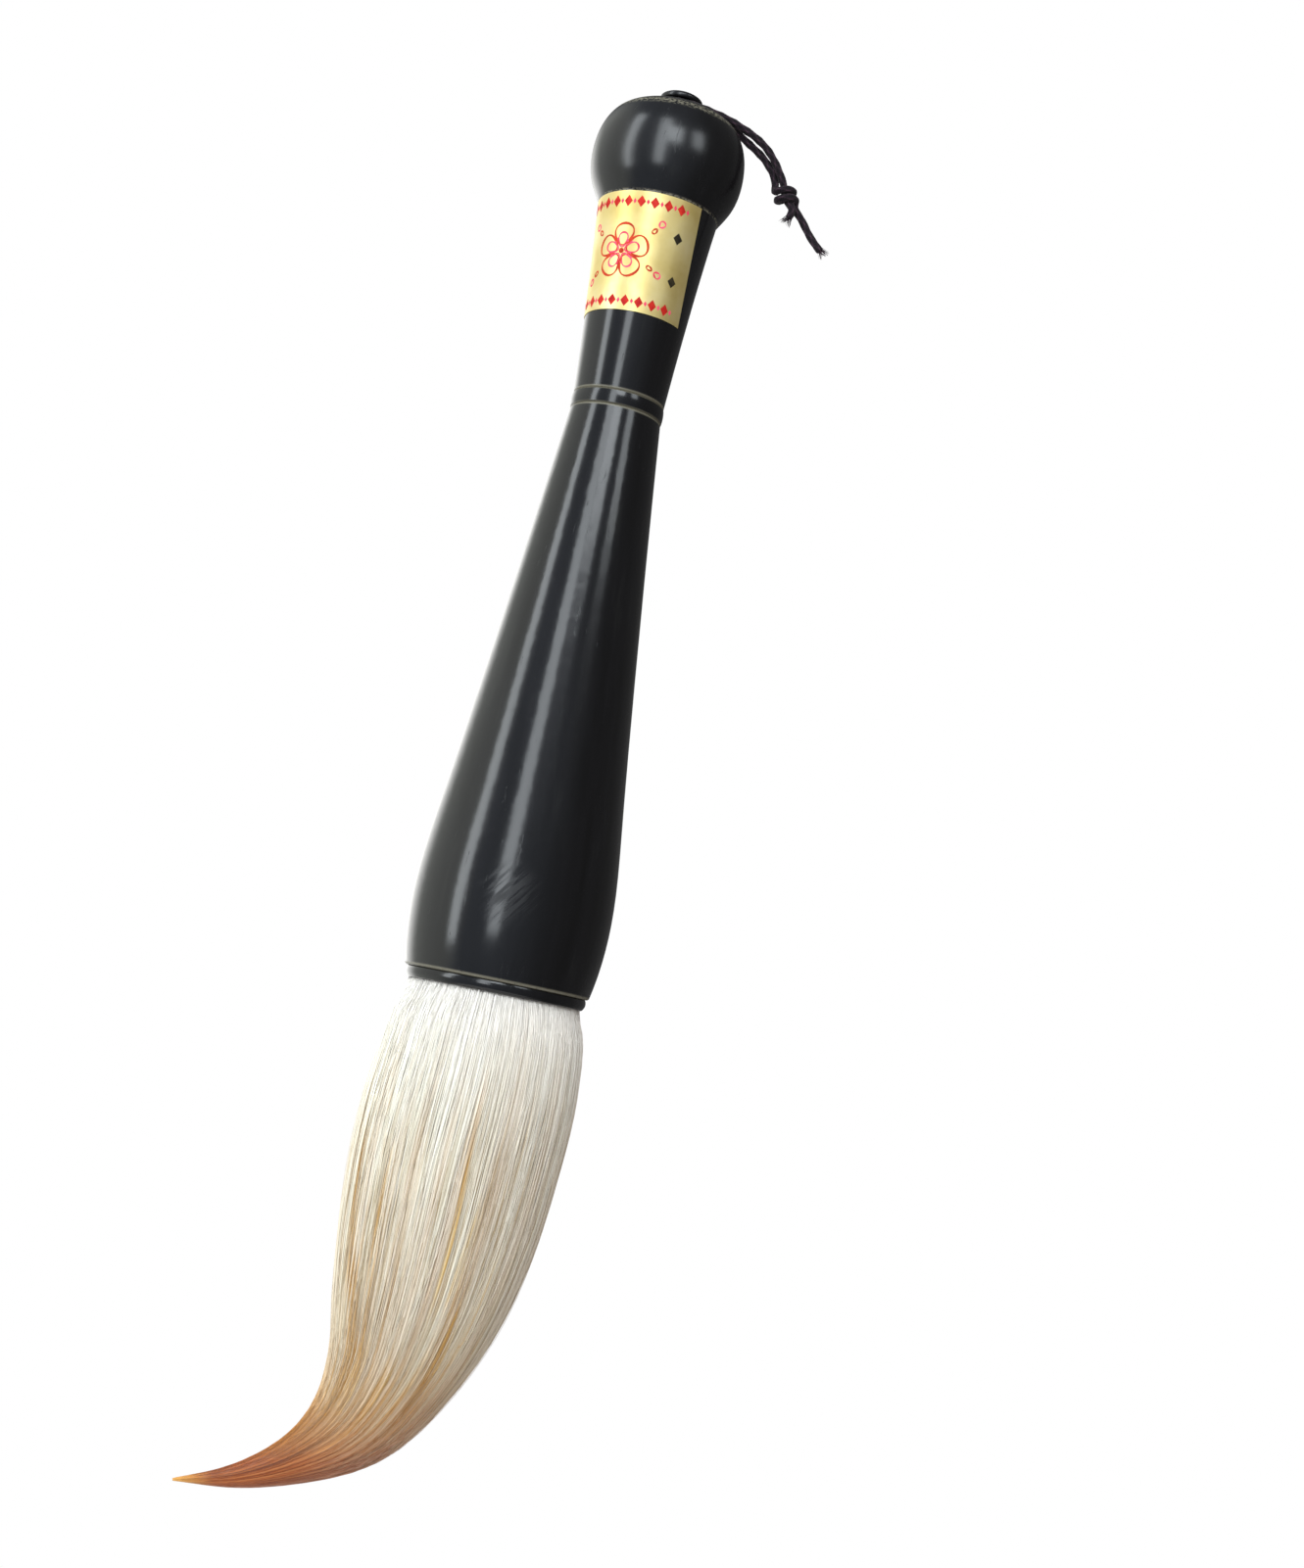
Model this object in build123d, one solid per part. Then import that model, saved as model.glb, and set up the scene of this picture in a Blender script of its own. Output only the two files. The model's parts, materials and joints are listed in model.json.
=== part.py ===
"""A large Chinese calligraphy brush, as the separate pieces that it comes apart into.

The handle is a stack of turned pieces on one axis: mouth ring, barrel, waist ring, neck, knob and
end button. The hair is tied, glued into the barrel's socket and made of a long core inside a wrap
of outer hair. A cord eye turns in the groove under the end button and carries the hanging loop.

Frame: +Z runs up the handle's axis, so the hair hangs down; +X points to the side on which the
hanging loop lies; the origin is the grip point on the axis.
"""

from build123d import *
from math import cos, degrees, pi, radians, sin, tan
import os

os.makedirs("parts", exist_ok=True)

# ---- Driving dimensions, in millimetres. Heights count up the handle from its mouth. ----------
MOUTH_Z = -75.0  # the mouth, where the hair leaves the handle, lies this far below the origin

# Socket for the hair, and the ring that lines its mouth
SOCKET_RADIUS = 16.0
SOCKET_DEPTH = 26.0
RING_HEIGHT = 2.2
RING_RADIUS = 17.3
SPIGOT_RADIUS = 16.9
SPIGOT_TOP = 5.2

# Turned outlines: (radius, height) of the few points that each curve runs through
BARREL_OUTLINE = [(17.75, 2.5), (18.85, 10), (19.1, 17), (17.5, 35), (14.6, 60), (11.3, 91), (8.95, 114.2)]
NECK_OUTLINE = [(8.95, 117.6), (9.45, 126), (10.55, 141.6), (11.9, 156.3)]
KNOB_BASE_RADIUS = 12.05
KNOB_OUTLINE = [(12.9, 158.0), (14.15, 160.4), (15.15, 166.8), (13.9, 172.5), (12.2, 174.95), (10.2, 176.3)]
KNOB_TOP = 177.85
KNOB_TOP_RADIUS = 4.6

WAIST_BOTTOM = 114.4
WAIST_TOP = 117.4
WAIST_RADIUS = 9.15

# Tenons that join the turned pieces
TENON_RADIUS = 5.0
TENON_LENGTH = 14.0
KNOB_TENON_LENGTH = 7.0
TENON_END_GAP = 0.5

# End button, whose stem stands in the knob
STEM_RADIUS = 2.35
STEM_BOTTOM = 169.5
BUTTON_RADIUS = 4.3
BUTTON_BOTTOM = 179.45
BUTTON_EDGE = 0.3  # how far the head's rim bulges
CROWN_OUTLINE = [(4.0, 180.55), (3.3, 180.9), (2.0, 181.12), (0, 181.2)]

# Paper label on the neck
LABEL_BOTTOM = 132.7
LABEL_TOP = 156.0
LABEL_WIDTH = 28.0  # along the paper
LABEL_THICKNESS = 0.12
LABEL_AZIMUTH = -112.0  # degrees from +X to the middle of the label

# Hair
ROOT_RADIUS = 15.9
CORE_ROOT_RADIUS = 9.0
GLUE_THICKNESS = 2.0
THREAD_RADIUS = 0.4
THREAD_TURNS = 5
THREAD_HEIGHT = 18.0  # the lowest turn
TIED_RADIUS = 14.9  # of the root where the thread pulls it in
BEND_RADIUS = 22.0  # the root ends on a sphere about the middle of the mouth
BEND_GAP = 0.3
# (x, depth below the mouth, radius, lean of the hair towards -X in degrees)
TUFT_STATIONS = [
    (0.0, 0.0, 15.9, 0),
    (0.0, 3.0, 17.3, 0),
    (-0.1, 15.0, 19.3, 0),
    (-0.8, 30.0, 19.6, 2),
    (-1.3, 45.0, 18.5, 2),
    (-2.4, 60.0, 15.9, 5),
    (-4.6, 72.4, 12.2, 12),
    (-9.7, 83.2, 8.6, 32),
    (-18.1, 90.6, 4.6, 57),
    (-23.4, 93.6, 3.15, 62),
]
CORE_TIP = [(-29.1, 96.2, 1.95, 66), (-39.6, 98.8, 0.5, 72)]  # where the core runs on alone
CORE_SHARE = [0.565, 0.54, 0.52, 0.52, 0.54, 0.57, 0.6, 0.63, 0.68, 0.78]  # of each station's radius

# Hanging loop
CORD_RADIUS = 0.7
CORD_HEIGHT = 178.65  # middle of the groove under the button
EYE_GAP = 0.1  # between the cord eye and the stem
LIFT_X = 6.0  # the loop folds up from the eye about this line
LIFT_GAP = 1.0  # from there to where the loop's strands start, along the strand
KNOT_CENTRE = (23.95, 0.0, 165.15)
KNOT_RADIUS = 2.2
# Routes of the cord, (x, y, height): the two strands lie one above the other from the knob to the knot
LONG_STRAND_ROUTE = [
    (7.0, 1.75, 178.4),
    (10.2, 1.2, 177.4),
    (12.9, 0.9, 175.95),
    (15.4, 0.8, 174.3),
    (17.7, 0.65, 172.75),
    (19.4, 0.55, 171.1),
    (20.85, 0.52, 169.25),
    (22.25, 0.6, 167.1),
]
SHORT_STRAND_ROUTE = [
    (7.0, -1.75, 178.4),
    (10.2, -1.15, 177.85),
    (12.95, -0.85, 176.9),
    (15.7, -0.75, 175.75),
    (18.5, -0.6, 173.95),
    (20.65, -0.52, 171.5),
    (22.15, -0.52, 169.2),
    (23.4, -0.6, 166.9),
]
LONG_TAIL_ROUTE = [
    (24.6, 0.3, 164.5),
    (26.3, 0.45, 163.05),
    (28.0, 0.5, 161.4),
    (29.5, 0.5, 159.3),
    (31.0, 0.4, 157.4),
    (32.9, 0.2, 155.6),
]
SHORT_TAIL_ROUTE = [
    (24.6, -0.7, 164.3),
    (25.5, -0.95, 163.1),
    (25.95, -1.05, 161.8),
    (25.4, -1.1, 160.5),
]


def at(radius, height):
    """The point of a turned outline at this radius and height above the mouth."""
    return Vector(radius, 0, MOUTH_Z + height)


def line(*points):
    """Straight edges through the given (radius, height) points."""
    return Polyline(*[at(*p) for p in points])


def curve(points):
    """A smooth edge through the given (radius, height) points."""
    return Spline(*[at(*p) for p in points])


def turned(*stretches):
    """The solid that a closed outline sweeps in one full turn about the handle's axis."""
    edges = [edge for stretch in stretches for edge in stretch.edges()]
    return revolve(make_face(edges), Axis.Z)


def rod(radius, bottom, top):
    """A cylinder on the handle's axis between two heights."""
    return Pos(0, 0, MOUTH_Z + bottom) * Cylinder(
        radius, top - bottom, align=(Align.CENTER, Align.CENTER, Align.MIN)
    )


# ---- Handle ------------------------------------------------------------------------------------
def make_mouth_ring():
    """The thin horn ring at the mouth: a rounded lip, and a spigot that stands in the barrel."""
    lip = ThreePointArc(at(SOCKET_RADIUS, 0.25), at(SOCKET_RADIUS + 0.6, 0), at(RING_RADIUS - 0.3, 0.35))
    side = ThreePointArc(lip @ 1, at(RING_RADIUS, 1.1), at(RING_RADIUS - 0.15, RING_HEIGHT - 0.2))
    rest = line(
        (RING_RADIUS - 0.15, RING_HEIGHT - 0.2),
        (RING_RADIUS - 0.35, RING_HEIGHT),
        (SPIGOT_RADIUS, RING_HEIGHT),
        (SPIGOT_RADIUS, SPIGOT_TOP),
        (SOCKET_RADIUS, SPIGOT_TOP),
        (SOCKET_RADIUS, 0.25),
    )
    return turned(lip, side, rest)


def make_barrel():
    """The hollow, swelling body of the handle, with the hair's socket and the neck's mortise."""
    outside = curve(BARREL_OUTLINE)
    foot = line((SPIGOT_RADIUS, RING_HEIGHT), (17.45, RING_HEIGHT), BARREL_OUTLINE[0])
    mortise = WAIST_BOTTOM - TENON_LENGTH - TENON_END_GAP
    inside = line(
        BARREL_OUTLINE[-1],
        (BARREL_OUTLINE[-1][0] - 0.25, WAIST_BOTTOM),
        (TENON_RADIUS, WAIST_BOTTOM),
        (TENON_RADIUS, mortise),
        (0, mortise),
        (0, SOCKET_DEPTH),
        (SOCKET_RADIUS, SOCKET_DEPTH),
        (SOCKET_RADIUS, SPIGOT_TOP),
        (SPIGOT_RADIUS, SPIGOT_TOP),
        (SPIGOT_RADIUS, RING_HEIGHT),
    )
    return turned(foot, outside, inside)


def make_waist_ring():
    """The slightly proud collar between two fine grooves, threaded on the neck's lower tenon."""
    middle = (WAIST_BOTTOM + WAIST_TOP) / 2
    side = ThreePointArc(
        at(WAIST_RADIUS - 0.1, WAIST_BOTTOM + 0.25),
        at(WAIST_RADIUS, middle),
        at(WAIST_RADIUS - 0.1, WAIST_TOP - 0.25),
    )
    rest = line(
        (WAIST_RADIUS - 0.1, WAIST_TOP - 0.25),
        (WAIST_RADIUS - 0.45, WAIST_TOP),
        (TENON_RADIUS, WAIST_TOP),
        (TENON_RADIUS, WAIST_BOTTOM),
        (WAIST_RADIUS - 0.45, WAIST_BOTTOM),
        (WAIST_RADIUS - 0.1, WAIST_BOTTOM + 0.25),
    )
    return turned(side, rest)


def make_neck():
    """The flaring upper part of the handle, with a tenon at each end."""
    knob_seat = NECK_OUTLINE[-1][1]
    lower = line(
        (0, WAIST_BOTTOM - TENON_LENGTH),
        (TENON_RADIUS, WAIST_BOTTOM - TENON_LENGTH),
        (TENON_RADIUS, WAIST_TOP),
        (NECK_OUTLINE[0][0] - 0.25, WAIST_TOP),
        NECK_OUTLINE[0],
    )
    upper = line(
        NECK_OUTLINE[-1],
        (TENON_RADIUS, knob_seat),
        (TENON_RADIUS, knob_seat + KNOB_TENON_LENGTH),
        (0, knob_seat + KNOB_TENON_LENGTH),
        (0, WAIST_BOTTOM - TENON_LENGTH),
    )
    return turned(lower, curve(NECK_OUTLINE), upper)


def make_knob():
    """The flattened ball at the top of the handle, bored for the neck and the end button."""
    seat = NECK_OUTLINE[-1][1]
    mortise = seat + KNOB_TENON_LENGTH + TENON_END_GAP
    side = curve([(KNOB_BASE_RADIUS, seat + 0.25), *KNOB_OUTLINE, (KNOB_TOP_RADIUS, KNOB_TOP)])
    foot = line(
        (0, STEM_BOTTOM),
        (0, mortise),
        (TENON_RADIUS, mortise),
        (TENON_RADIUS, seat),
        (KNOB_BASE_RADIUS - 0.25, seat),
        (KNOB_BASE_RADIUS, seat + 0.25),
    )
    bore = line(
        (KNOB_TOP_RADIUS, KNOB_TOP), (STEM_RADIUS, KNOB_TOP), (STEM_RADIUS, STEM_BOTTOM), (0, STEM_BOTTOM)
    )
    return turned(foot, side, bore)


def make_end_button():
    """The mushroom button: a stem glued in the knob, and a round head over the cord's groove."""
    below = line(
        (0, STEM_BOTTOM),
        (STEM_RADIUS, STEM_BOTTOM),
        (STEM_RADIUS, BUTTON_BOTTOM),
        (BUTTON_RADIUS - BUTTON_EDGE, BUTTON_BOTTOM),
    )
    crown = curve(CROWN_OUTLINE)
    middle = (BUTTON_BOTTOM + CROWN_OUTLINE[0][1]) / 2
    rim = ThreePointArc(below @ 1, at(BUTTON_RADIUS, middle), crown @ 0)
    return turned(below, rim, crown, line(CROWN_OUTLINE[-1], (0, STEM_BOTTOM)))


def neck_radius(height):
    """The neck's radius at a height above the mouth."""
    cut = curve(NECK_OUTLINE).intersect(Plane.XY.offset(MOUTH_Z + height))
    return (cut[0] if isinstance(cut, (list, ShapeList)) else cut).center().X


def make_label(neck):
    """A paper rectangle wrapped round the flaring neck, so its ends lean as on a cone."""
    low, high = neck_radius(LABEL_BOTTOM), neck_radius(LABEL_TOP)
    middle_height = (LABEL_BOTTOM + LABEL_TOP) / 2
    heights = [(low, LABEL_BOTTOM), (neck_radius(middle_height), middle_height), (high, LABEL_TOP)]
    outside = curve([(radius + LABEL_THICKNESS, height) for radius, height in heights])
    inside = line(
        (high + LABEL_THICKNESS, LABEL_TOP),
        (low - 1, LABEL_TOP),
        (low - 1, LABEL_BOTTOM),
        (low + LABEL_THICKNESS, LABEL_BOTTOM),
    )
    face = make_face([*outside.edges(), *inside.edges()])
    span = degrees(LABEL_WIDTH / low) + 4
    sheet = Rot(0, 0, LABEL_AZIMUTH - span / 2) * revolve(face, Axis.Z, revolution_arc=span)
    sheet -= neck
    for side in (-1, 1):
        corners = []
        for radius, height in ((low, LABEL_BOTTOM), (high, LABEL_TOP)):
            turn = radians(LABEL_AZIMUTH) + side * LABEL_WIDTH / 2 / radius
            corners.append(Vector(radius * cos(turn), radius * sin(turn), MOUTH_Z + height))
        up = corners[1] - corners[0]
        inward = Vector(0, 0, MOUTH_Z + middle_height) - (corners[0] + corners[1]) / 2
        cutter = Plane(corners[0], x_dir=up, z_dir=up.cross(inward) * side)
        sheet = split(sheet, bisect_by=cutter, keep=Keep.TOP)
    return sheet


# ---- Hair --------------------------------------------------------------------------------------
def station_disc(x, depth, radius, lean):
    """A round section of the tuft, square to the way the hair runs there."""
    tilt = radians(lean)
    along = Vector(-sin(tilt), 0, -cos(tilt))
    return Plane(Vector(x, 0, MOUTH_Z - depth), x_dir=(0, 1, 0), z_dir=along) * Circle(radius)


def make_tuft_outside():
    """The whole tuft below the mouth, up to where the wrap of outer hair ends."""
    return loft([station_disc(*s) for s in TUFT_STATIONS])


def make_core_outside():
    """The core below the mouth, which runs on to the tip."""
    inner = [(x, d, r * share, lean) for (x, d, r, lean), share in zip(TUFT_STATIONS, CORE_SHARE)]
    return loft([station_disc(*s) for s in inner + CORE_TIP])


def make_hair():
    """Roots and moving tuft, each in an outer wrap and a core, parted on a sphere at the mouth."""
    tuft, core = make_tuft_outside(), make_core_outside()
    root_ball = Pos(0, 0, MOUTH_Z) * Sphere(BEND_RADIUS)
    tuft_ball = Pos(0, 0, MOUTH_Z) * Sphere(BEND_RADIUS + BEND_GAP)
    root_top = SOCKET_DEPTH - GLUE_THICKNESS
    tie_bottom = THREAD_HEIGHT - 2 * THREAD_RADIUS
    tie_top = THREAD_HEIGHT + THREAD_RADIUS * 2 * THREAD_TURNS
    bundle = rod(ROOT_RADIUS, 0, root_top)
    bundle -= rod(ROOT_RADIUS + 1, tie_bottom, tie_top) - rod(TIED_RADIUS, tie_bottom, tie_top)
    core_root = rod(CORE_ROOT_RADIUS, 0, root_top)
    return {
        "outer_hair_root": bundle + (tuft & root_ball) - core_root - core,
        "core_hair_root": core_root + (core & root_ball),
        "outer_hair": tuft - tuft_ball - core,
        "core_hair": core - tuft_ball,
    }


def make_binding_thread():
    """The turns of thread that tie the hair's root, one above the other."""
    pitch = 2 * THREAD_RADIUS + 0.02
    ring = Torus(TIED_RADIUS + THREAD_RADIUS + 0.01, THREAD_RADIUS)
    turns = [Pos(0, 0, MOUTH_Z + THREAD_HEIGHT + i * pitch) * ring for i in range(THREAD_TURNS)]
    return Compound(children=turns)


def make_glue_bed():
    """The rosin that fills the end of the socket above the hair."""
    return rod(SOCKET_RADIUS - 0.02, SOCKET_DEPTH - GLUE_THICKNESS, SOCKET_DEPTH)


# ---- Hanging loop ------------------------------------------------------------------------------
def cord_tube(name, route):
    """A round cord on straight runs joined by tangent arcs, each as large as its runs allow."""
    points = [Vector(x, y, MOUTH_Z + height) for x, y, height in route]
    runs = [b - a for a, b in zip(points, points[1:])]
    radii = []
    for before, after in zip(runs, runs[1:]):
        half_turn = radians(before.get_angle(after)) / 2
        radii.append(0.45 * min(before.length, after.length) / tan(half_turn))
    path = FilletPolyline(*points, radius=radii)
    section = Plane(points[0], z_dir=runs[0]) * Circle(CORD_RADIUS)
    tube = sweep(section, path=path)
    expected = pi * CORD_RADIUS**2 * path.length
    print(
        f"{name}: length {path.length:.1f}, arc radii {[round(r, 1) for r in radii]},"
        f" volume {tube.volume:.1f} of {expected:.1f}"
    )
    return tube


def make_cord_eye():
    """The bight of cord in the groove: half a turn round the stem and a leg on each side."""
    radius = STEM_RADIUS + EYE_GAP + CORD_RADIUS
    level = MOUTH_Z + CORD_HEIGHT
    end_y = LONG_STRAND_ROUTE[0][1] + 0.25
    legs = [
        Line((LIFT_X, side * end_y, level), (radius * 0.35, side * radius * 0.96, level)) for side in (-1, 1)
    ]
    back = ThreePointArc(legs[0] @ 1, Vector(-radius, 0, level), legs[1] @ 1)
    bight = sweep(Plane(back @ 0, z_dir=back % 0) * Circle(CORD_RADIUS), path=back)
    eye = bight
    for leg in legs:
        eye += sweep(Plane(leg @ 0, z_dir=leg % 0) * Circle(CORD_RADIUS), path=leg)
        eye += Pos(leg @ 1) * Sphere(CORD_RADIUS)
        eye += Pos(leg @ 0) * Sphere(CORD_RADIUS)
    return eye


def make_loop():
    """Two strands from the eye to the knot, and the two tails beyond it."""
    knot = Pos(KNOT_CENTRE[0], KNOT_CENTRE[1], MOUTH_Z + KNOT_CENTRE[2]) * Sphere(KNOT_RADIUS)
    start = Vector(LIFT_X, 0, MOUTH_Z + CORD_HEIGHT)
    clearance = Plane(start, x_dir=(1, 0, 0), z_dir=(0, 1, 0)) * Cylinder(LIFT_GAP, 12)
    return {
        "cord_knot": knot,
        "cord_strand_long": cord_tube("cord_strand_long", LONG_STRAND_ROUTE) - clearance - knot,
        "cord_strand_short": cord_tube("cord_strand_short", SHORT_STRAND_ROUTE) - clearance - knot,
        "cord_tail_long": cord_tube("cord_tail_long", LONG_TAIL_ROUTE) - knot,
        "cord_tail_short": cord_tube("cord_tail_short", SHORT_TAIL_ROUTE) - knot,
    }


neck = make_neck()
nodes = {
    "mouth_ring": make_mouth_ring(),
    "barrel": make_barrel(),
    "waist_ring": make_waist_ring(),
    "neck": neck,
    "knob": make_knob(),
    "end_button": make_end_button(),
    "label": make_label(neck),
    "glue_bed": make_glue_bed(),
    "binding_thread": make_binding_thread(),
    "cord_eye": make_cord_eye(),
    **make_hair(),
    **make_loop(),
}
for name, shape in nodes.items():
    export_step(shape, f"parts/{name}.step")
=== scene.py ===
import json
from math import cos, pi, radians, sin, tau

import bpy
import numpy as np
from mathutils import Matrix, Vector
from mathutils.bvhtree import BVHTree


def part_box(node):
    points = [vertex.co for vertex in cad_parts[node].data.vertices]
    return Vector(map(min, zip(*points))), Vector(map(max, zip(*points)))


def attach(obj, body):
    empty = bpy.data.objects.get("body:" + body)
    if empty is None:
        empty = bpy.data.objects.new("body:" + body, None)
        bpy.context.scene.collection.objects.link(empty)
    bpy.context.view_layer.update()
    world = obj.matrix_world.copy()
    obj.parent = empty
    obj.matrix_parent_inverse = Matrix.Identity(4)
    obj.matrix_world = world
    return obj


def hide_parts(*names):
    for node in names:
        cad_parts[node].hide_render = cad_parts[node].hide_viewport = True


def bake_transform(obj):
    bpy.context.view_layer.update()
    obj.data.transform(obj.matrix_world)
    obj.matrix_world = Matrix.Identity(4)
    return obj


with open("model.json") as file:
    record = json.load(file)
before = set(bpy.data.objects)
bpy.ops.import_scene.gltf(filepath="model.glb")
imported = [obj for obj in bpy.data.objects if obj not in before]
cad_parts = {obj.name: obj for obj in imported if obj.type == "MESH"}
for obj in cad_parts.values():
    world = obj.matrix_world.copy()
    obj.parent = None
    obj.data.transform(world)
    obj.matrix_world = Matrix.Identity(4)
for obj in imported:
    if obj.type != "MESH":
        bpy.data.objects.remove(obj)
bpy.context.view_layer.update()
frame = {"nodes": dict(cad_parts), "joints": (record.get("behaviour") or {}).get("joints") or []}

# A calligraphy brush: a black horn handle kept as its CAD pieces, a tuft of hair modelled as a
# grooved bundle under locks and single hairs, a braided hanging cord, and a printed foil label.
# Lengths are in millimetres until they reach Blender. Heights count up from the handle's mouth.
MM = 0.001
JOINTS = {joint["name"]: joint for joint in frame["joints"]}
MOUTH = Vector(JOINTS["tuft_bend"]["pos_m"]) / MM


# ---- Small helpers -----------------------------------------------------------------------------
def srgb(red, green, blue):
    """A linear colour from the 0 to 255 numbers that a screen shows."""
    shown = np.array([red, green, blue]) / 255
    linear = np.where(shown <= 0.04045, shown / 12.92, ((shown + 0.055) / 1.055) ** 2.4)
    return (*linear.tolist(), 1.0)


def smoothstep(low, high, value):
    """0 below low, 1 above high, and a smooth rise between them."""
    share = np.clip((value - low) / (high - low), 0, 1)
    return share * share * (3 - 2 * share)


def smooth_through(keys, values, at):
    """Values at the given places on a smooth curve through (keys, values)."""
    slopes = np.gradient(values, keys, axis=0)
    i = np.clip(np.searchsorted(keys, at) - 1, 0, len(keys) - 2)
    gap = (keys[i + 1] - keys[i])[..., None]
    u = (np.asarray(at)[..., None] - keys[i][..., None]) / gap
    return (
        (2 * u**3 - 3 * u**2 + 1) * values[i]
        + (u**3 - 2 * u**2 + u) * gap * slopes[i]
        + (3 * u**2 - 2 * u**3) * values[i + 1]
        + (u**3 - u**2) * gap * slopes[i + 1]
    )


def unit(vectors):
    """The same directions with a length of 1."""
    return vectors / np.maximum(np.linalg.norm(vectors, axis=-1, keepdims=True), 1e-9)


def add_mesh(name, points, faces, material, **values):
    """A smooth mesh from points in millimetres, with one number or vector per point in each value."""
    mesh = bpy.data.meshes.new(name)
    points = np.asarray(points, float).reshape(-1, 3) * MM
    mesh.from_pydata(points.tolist(), [], faces)
    for label, numbers in values.items():
        numbers = np.asarray(numbers, float)
        kind, key = ("FLOAT_VECTOR", "vector") if numbers.shape[-1:] == (3,) else ("FLOAT", "value")
        mesh.attributes.new(label, kind, "POINT").data.foreach_set(key, numbers.ravel())
    mesh.polygons.foreach_set("use_smooth", [True] * len(mesh.polygons))
    mesh.update()
    mesh.materials.append(material)
    piece = bpy.data.objects.new(name, mesh)
    bpy.context.scene.collection.objects.link(piece)
    return piece


def tube_faces(tubes, rings, sides):
    """Quads round and along closed tubes whose points run tube by tube, ring by ring, with ends."""
    start = np.arange(tubes)[:, None, None] * rings * sides
    ring = np.arange(rings - 1)[None, :, None] * sides
    side = np.arange(sides)[None, None, :]
    after = (side + 1) % sides
    base = start + ring
    quads = np.stack([base + side, base + after, base + sides + after, base + sides + side], -1)
    faces = quads.reshape(-1, 4).tolist()
    for first in range(0, tubes * rings * sides, rings * sides):
        last = first + (rings - 1) * sides
        faces.append(list(range(first + sides - 1, first - 1, -1)))
        faces.append(list(range(last, last + sides)))
    return faces


def tube_points(line, first, second, sides, wide, deep):
    """Rings of points round lines; first and second are square to them, wide and deep are radii."""
    angle = np.arange(sides) * (tau / sides)
    x, y = (wide * np.cos(angle))[..., None], (deep * np.sin(angle))[..., None]
    return line[..., None, :] + x * first[..., None, :] + y * second[..., None, :]


class Nodes:
    """A material's node tree, with short calls that add a node and link its inputs."""

    def __init__(self, name):
        self.material = bpy.data.materials.new(name)
        self.material.use_nodes = True
        self.tree = self.material.node_tree
        self.shader = self.tree.nodes["Principled BSDF"]

    def add(self, kind, settings=None, **inputs):
        node = self.tree.nodes.new("ShaderNode" + kind)
        for key, value in (settings or {}).items():
            setattr(node, key, value)
        for key, value in inputs.items():
            name = int(key[1:]) if key[0] == "i" and key[1:].isdigit() else key.replace("_", " ")
            self.feed(node.inputs[name], value)
        return node

    def feed(self, socket, value):
        if isinstance(value, bpy.types.NodeSocket):
            self.tree.links.new(value, socket)
        else:
            socket.default_value = value

    def attribute(self, name, output="Fac"):
        return self.add("Attribute", {"attribute_name": name}).outputs[output]

    def maths(self, operation, first, second=0.0, third=0.0, clamp=False):
        settings = {"operation": operation, "use_clamp": clamp}
        return self.add("Math", settings, i0=first, i1=second, i2=third).outputs[0]

    def mix(self, share, first, second, blend="MIX"):
        settings = {"data_type": "RGBA", "blend_type": blend}
        node = self.add("Mix", settings, i0=share, i6=first, i7=second)
        return node.outputs[2]

    def ramp(self, value, stops):
        node = self.add("ValToRGB", i0=value)
        points = node.color_ramp.elements
        while len(points) < len(stops):
            points.new(0.5)
        for point, (place, colour) in zip(points, stops):
            point.position, point.color = place, colour
        return node.outputs[0]

    def noise(self, vector, scale, detail=2.0, roughness=0.5):
        node = self.add("TexNoise", Vector=vector, Scale=scale, Detail=detail, Roughness=roughness)
        return node.outputs[0]

    def scaled(self, vector, *scale):
        return self.add("Mapping", Vector=vector, Scale=scale).outputs[0]

    def bump(self, height, strength, distance):
        return self.add("Bump", Height=height, Strength=strength, Distance=distance).outputs[0]

    def finish(self, **inputs):
        for key, value in inputs.items():
            self.feed(self.shader.inputs[key.replace("_", " ")], value)
        return self.material


# ---- Camera, lights and stage ------------------------------------------------------------------
CAMERA_FROM_MOUTH = Vector((21.3, -415.4, -3.3))
CAMERA_LOOKS_UP = radians(6.65)
CAMERA_ROLL = radians(11.5)
CAMERA_LENS = 50.1
# Radiance of the room to each side, and of the walls as polished surfaces mirror them
ROOM_LEFT, ROOM_RIGHT = (0.76, 0.77, 0.78), (0.52, 0.47, 0.44)
BACKDROP, PALE_WALL = (2.3, 2.3, 2.25), (0.85, 0.88, 0.83)
FRONT_WALL, DARK_WALL = (0.33, 0.37, 0.43), (0.10, 0.10, 0.10)
WINDOW_LIGHT = (0.90, 0.96, 1.0)


def make_camera():
    """A camera in front of the brush, a little below its middle, rolled so the handle leans right."""
    forward = Vector((0, cos(CAMERA_LOOKS_UP), sin(CAMERA_LOOKS_UP)))
    level, upright = Vector((1, 0, 0)), Vector((0, -sin(CAMERA_LOOKS_UP), cos(CAMERA_LOOKS_UP)))
    right = cos(CAMERA_ROLL) * level + sin(CAMERA_ROLL) * upright
    up = cos(CAMERA_ROLL) * upright - sin(CAMERA_ROLL) * level
    data = bpy.data.cameras.new("camera")
    data.lens, data.sensor_width = CAMERA_LENS, 36
    data.clip_start = 0.01
    camera = bpy.data.objects.new("camera", data)
    axes = Matrix((right, up, -forward)).transposed().to_4x4()
    camera.matrix_world = Matrix.Translation((MOUTH + CAMERA_FROM_MOUTH) * MM) @ axes
    bpy.context.scene.collection.objects.link(camera)
    bpy.context.scene.camera = camera


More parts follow.
